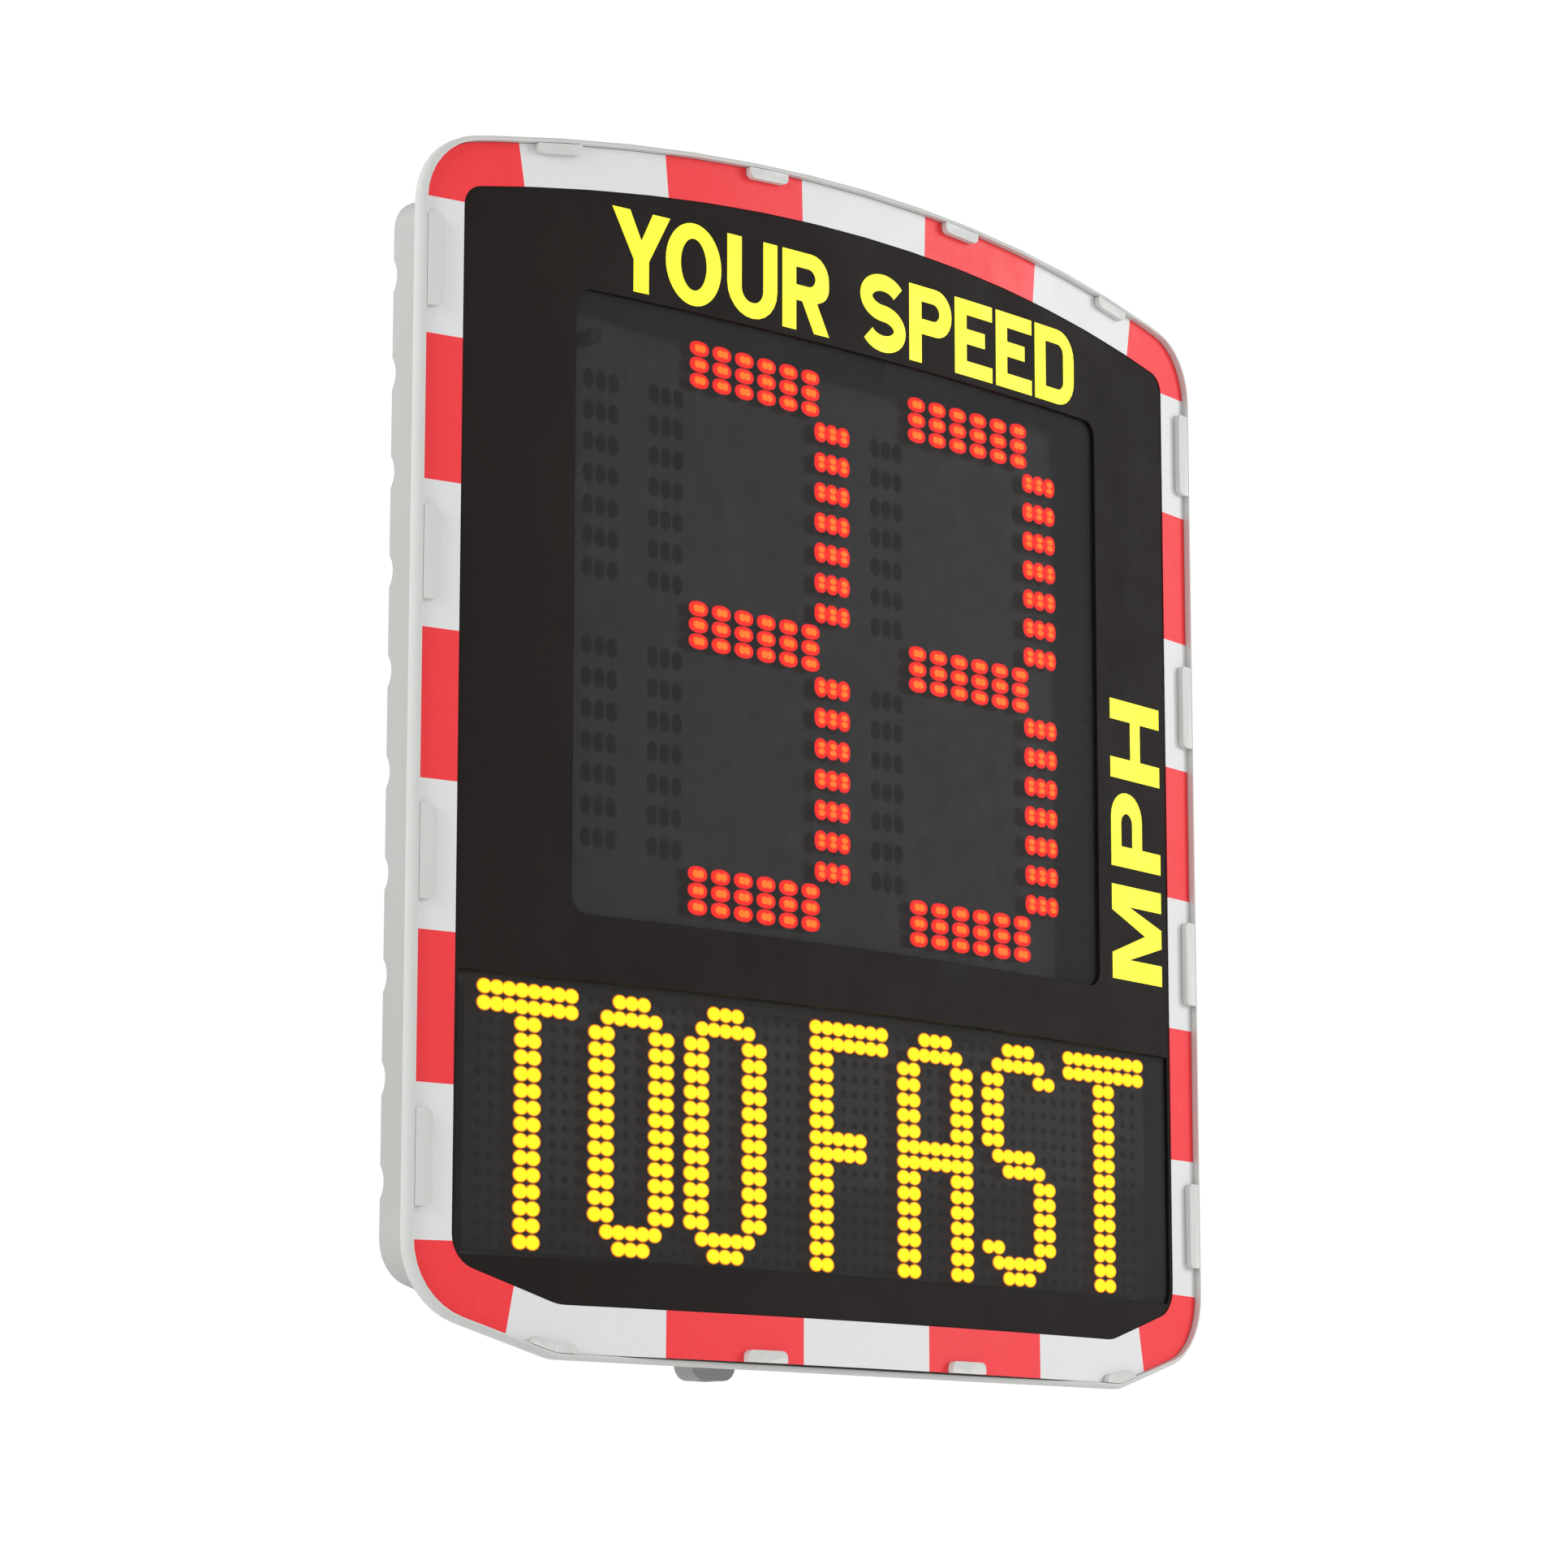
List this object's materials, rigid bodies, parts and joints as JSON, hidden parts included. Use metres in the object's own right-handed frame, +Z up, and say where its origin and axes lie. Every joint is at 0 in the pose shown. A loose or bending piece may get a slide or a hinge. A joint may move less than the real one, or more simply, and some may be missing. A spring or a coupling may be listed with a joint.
{
  "type": "solar speed sign",
  "caption": "Bowed radar speed display with red and white reflective border, tinted windows over LED boards, and a fluted rear casing that hangs on a vertical rail.",
  "frame": {"origin": "centre of the mounting rail's rear face, at the sign's mid-height", "axes": "+X to the right for a driver facing the sign, +Y away from the driver towards the pole, +Z up"},
  "size_m": [0.6766, 0.1533, 0.7318],
  "materials": {
    "shell_grey": "satin light grey powder coat",
    "panel_charcoal": "satin charcoal powder coat",
    "border_film": "retroreflective film in red and white blocks",
    "tinted_lens": "smoke-tinted polycarbonate, satin",
    "seal_rubber": "matt black",
    "circuit_board": "solder mask with fitted parts",
    "module_black": "moulded, fine texture",
    "zinc_steel": "zinc plated, satin",
    "battery_case": "moulded, light sheen",
    "webbing": "woven",
    "rail_metal": "mill finish, weathered",
    "button_red": "moulded"
  },
  "bodies": {
    "bracket": {"mounting_rail": "rail_metal", "hook_pin_upper": "zinc_steel", "hook_pin_lower": "zinc_steel"},
    "casing": {"rear_casing": "shell_grey", "hinge_casing_leaf_upper": "zinc_steel", "hinge_casing_leaf_lower": "zinc_steel", "hinge_pin_upper": "zinc_steel", "hinge_pin_lower": "zinc_steel", "battery_left": "battery_case", "battery_right": "battery_case", "battery_tray": "zinc_steel", "battery_strap_left": "webbing", "battery_strap_right": "webbing", "charge_controller": "module_black", "fuse_holder": "module_black", "solar_inlet_gland": "seal_rubber", "vent_plug": "seal_rubber", "power_button_bezel": "zinc_steel", "upper_hanger": "zinc_steel", "lower_hanger_left": "zinc_steel", "lower_hanger_right": "zinc_steel"},
    "door": {"front_frame": "shell_grey", "face_panel": "panel_charcoal", "reflective_border": "border_film", "number_window": "tinted_lens", "text_window": "tinted_lens", "number_window_seal": "seal_rubber", "text_window_seal": "seal_rubber", "clip_left_1": "shell_grey", "clip_left_2": "shell_grey", "clip_left_3": "shell_grey", "clip_left_4": "shell_grey", "clip_right_1": "shell_grey", "clip_right_2": "shell_grey", "clip_right_3": "shell_grey", "clip_right_4": "shell_grey", "clip_top_1": "shell_grey", "clip_top_2": "shell_grey", "clip_top_3": "shell_grey", "clip_top_4": "shell_grey", "clip_bottom_1": "shell_grey", "clip_bottom_2": "shell_grey", "clip_bottom_3": "shell_grey", "clip_bottom_4": "shell_grey", "frame_gasket": "seal_rubber", "number_led_board": "circuit_board", "text_led_board": "circuit_board", "display_chassis": "zinc_steel", "controller_board": "circuit_board", "radar_module": "module_black", "light_sensor": "module_black", "door_strike": "zinc_steel", "hinge_door_leaf_upper": "zinc_steel", "hinge_door_leaf_lower": "zinc_steel"},
    "door_lock": {"door_lock_barrel": "zinc_steel", "door_lock_cam": "zinc_steel"},
    "rail_lock": {"rail_lock_barrel": "zinc_steel", "rail_lock_cam": "zinc_steel"},
    "button": {"power_button": "button_red"}
  },
  "joints": [
    {"name": "lift_off", "type": "slide", "parent": "bracket", "child": "casing", "axis": [0, 0, 1], "range_m": [0, 0.014]},
    {"name": "front_door", "type": "hinge", "parent": "casing", "child": "door", "pos_m": [0.327, -0.11, 0], "axis": [0, 0, 1], "range_deg": [0, 100]},
    {"name": "door_lock", "type": "hinge", "parent": "casing", "child": "door_lock", "pos_m": [-0.2, -0.097, -0.332], "axis": [0, 0, -1], "range_deg": [0, 90]},
    {"name": "rail_lock", "type": "hinge", "parent": "bracket", "child": "rail_lock", "pos_m": [0, -0.008, -0.345], "axis": [0, 0, -1], "range_deg": [0, 90]},
    {"name": "power_button", "type": "slide", "parent": "casing", "child": "button", "axis": [0, 0, 1], "range_m": [0, 0.003], "stiffness_N_per_m": 600, "springref_m": -0.001}
  ]
}
